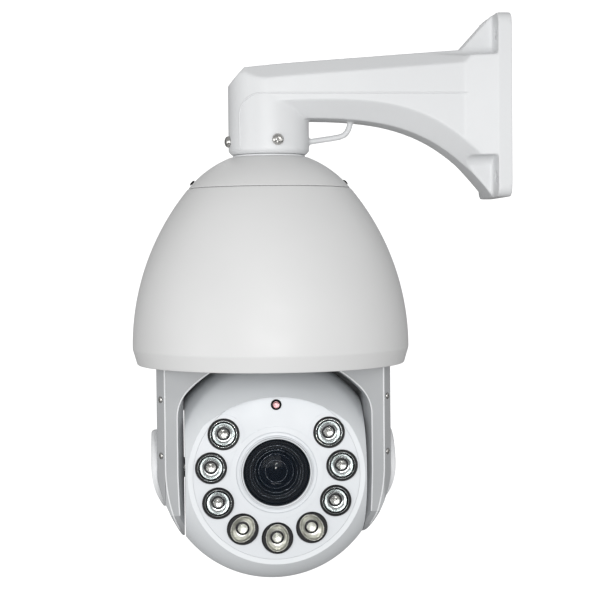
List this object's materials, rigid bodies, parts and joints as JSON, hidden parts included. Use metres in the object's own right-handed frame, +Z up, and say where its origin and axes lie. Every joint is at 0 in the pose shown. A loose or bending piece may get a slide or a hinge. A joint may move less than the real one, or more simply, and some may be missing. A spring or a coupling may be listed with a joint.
{
  "type": "ptz camera",
  "caption": "Pan-tilt-zoom infrared dome camera hanging under a sunshield from a cast L-shaped wall bracket, with a truncated ball held in a yoke.",
  "frame": {"origin": "centre of the wall plate's back face", "axes": "+X out of the plate's back, into the wall; -Y is the camera's front at rest; +Z up, parallel to the pan axis"},
  "size_m": [0.2994, 0.2208, 0.4478],
  "materials": {
    "bracket_paint": "fine semi-matt white paint on a die casting",
    "bare_aluminium": "turned, bare",
    "stainless_steel": "bare, turned",
    "shield_plastic": "warm white moulding, fine texture",
    "black_plastic": "satin black moulding",
    "housing_paint": "satin light grey-white paint",
    "inner_plastic": "dark technical plastic",
    "circuit_board": "green lacquered board",
    "rubber": "matt black",
    "face_plastic": "cool white satin moulding",
    "dark_glass": "coated optical glass",
    "lamp_optic": "clear polished optic over a bright cup",
    "sensor_optic": "small pinkish lens"
  },
  "bodies": {
    "fixed_part": {"wall_bracket": "bracket_paint", "neck_adapter": "bare_aluminium", "lock_screw_1": "stainless_steel", "lock_screw_2": "stainless_steel", "lock_screw_3": "stainless_steel", "top_cap": "shield_plastic", "cap_screw_1": "black_plastic", "cap_screw_2": "black_plastic", "sunshield": "shield_plastic", "inner_housing": "housing_paint", "base_ring": "inner_plastic", "main_board": "circuit_board", "cable_harness": "rubber", "pan_shaft": "stainless_steel", "fixed_pan_pulley": "bare_aluminium", "slip_ring_stator": "inner_plastic"},
    "pan_part": {"yoke": "housing_paint", "right_side_cover": "housing_paint", "left_side_cover": "housing_paint", "right_bearing_cap": "housing_paint", "left_bearing_cap": "housing_paint", "right_cover_screw_1": "stainless_steel", "right_cover_screw_2": "stainless_steel", "left_cover_screw_1": "stainless_steel", "left_cover_screw_2": "stainless_steel", "slip_ring_rotor": "bare_aluminium", "pan_bearing": "stainless_steel", "pan_motor": "inner_plastic", "pan_belt": "rubber", "right_tilt_bearing": "stainless_steel", "left_tilt_bearing": "stainless_steel", "tilt_motor": "inner_plastic", "tilt_belt": "rubber"},
    "pan_pinion": {"pan_motor_pulley": "bare_aluminium"},
    "tilt_pinion": {"tilt_motor_pulley": "bare_aluminium"},
    "tilt_part": {"ball_front_shell": "housing_paint", "ball_rear_shell": "housing_paint", "face_plate": "face_plastic", "front_window": "dark_glass", "lamp_carrier": "black_plastic", "lamp_lens_1": "lamp_optic", "lamp_lens_2": "lamp_optic", "lamp_lens_3": "lamp_optic", "lamp_lens_4": "lamp_optic", "lamp_lens_5": "lamp_optic", "lamp_lens_6": "lamp_optic", "lamp_lens_7": "lamp_optic", "lamp_lens_8": "lamp_optic", "lamp_lens_9": "lamp_optic", "light_sensor": "sensor_optic", "led_board": "circuit_board", "right_tilt_shaft": "stainless_steel", "left_tilt_shaft": "stainless_steel", "tilt_pulley": "bare_aluminium", "camera_chassis": "inner_plastic", "lens_barrel": "black_plastic", "sensor_board": "circuit_board"},
    "zoom_lens": {"zoom_group": "dark_glass"},
    "focus_lens": {"focus_group": "dark_glass"}
  },
  "joints": [
    {"name": "pan", "type": "hinge", "parent": "fixed_part", "child": "pan_part", "pos_m": [-0.189, 0, -0.18], "axis": [0, 0, 1], "continuous": true},
    {"name": "tilt", "type": "hinge", "parent": "pan_part", "child": "tilt_part", "pos_m": [-0.189, 0, -0.286], "axis": [1, 0, 0], "range_deg": [-15, 90]},
    {"name": "pan_pinion_spin", "type": "hinge", "parent": "pan_part", "child": "pan_pinion", "pos_m": [-0.189, 0.062, -0.145], "axis": [0, 0, 1], "continuous": true},
    {"name": "tilt_pinion_spin", "type": "hinge", "parent": "pan_part", "child": "tilt_pinion", "pos_m": [-0.189, 0, -0.1683], "axis": [1, 0, 0], "range_deg": [-45, 250]},
    {"name": "zoom_slide", "type": "slide", "parent": "tilt_part", "child": "zoom_lens", "axis": [0, 1, 0], "range_m": [0, 0.009]},
    {"name": "focus_slide", "type": "slide", "parent": "tilt_part", "child": "focus_lens", "axis": [0, 1, 0], "range_m": [-0.002, 0.004]}
  ],
  "couplings": [
    {"joint": "pan_pinion_spin", "follows": "pan", "ratio": -3.75},
    {"joint": "tilt_pinion_spin", "follows": "tilt", "ratio": 2.75}
  ]
}
